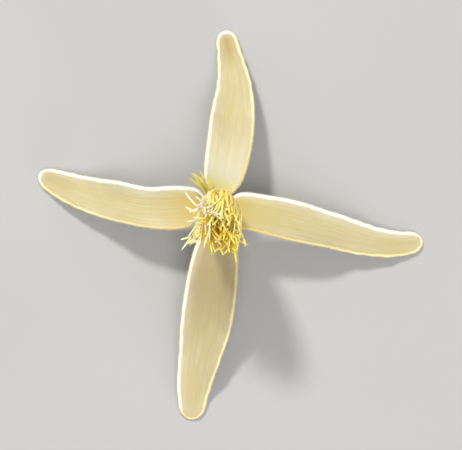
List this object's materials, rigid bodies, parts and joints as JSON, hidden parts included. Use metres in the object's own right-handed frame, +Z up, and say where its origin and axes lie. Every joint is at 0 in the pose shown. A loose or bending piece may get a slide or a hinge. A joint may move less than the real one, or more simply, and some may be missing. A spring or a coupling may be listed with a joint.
{
  "type": "clematis flower",
  "caption": "Picked clematis flower lying face up: narrow cream sepals in a cross round a tall brush of pale golden stamens, on a thin curved stalk.",
  "frame": {"origin": "on the surface that the flower lies on, under the middle of its outline, with the sepal tips at z = 0", "axes": "+Z up along the flower's axis and out of its face, +X and +Y along the surface: the sepals lie near -X, +X, -Y and +Y, and the stalk runs out below the -Y sepal"},
  "size_m": [0.0405, 0.0409, 0.0196],
  "materials": {
    "sepal": "satin",
    "stalk": "satin",
    "stamen": "matte",
    "style": "matte"
  },
  "bodies": {
    "root": {"sepal_back": "sepal", "sepal_left": "sepal", "sepal_right": "sepal", "sepal_front": "sepal", "stalk": "stalk", "stamens": "stamen", "pistils": "style"}
  },
  "joints": []
}
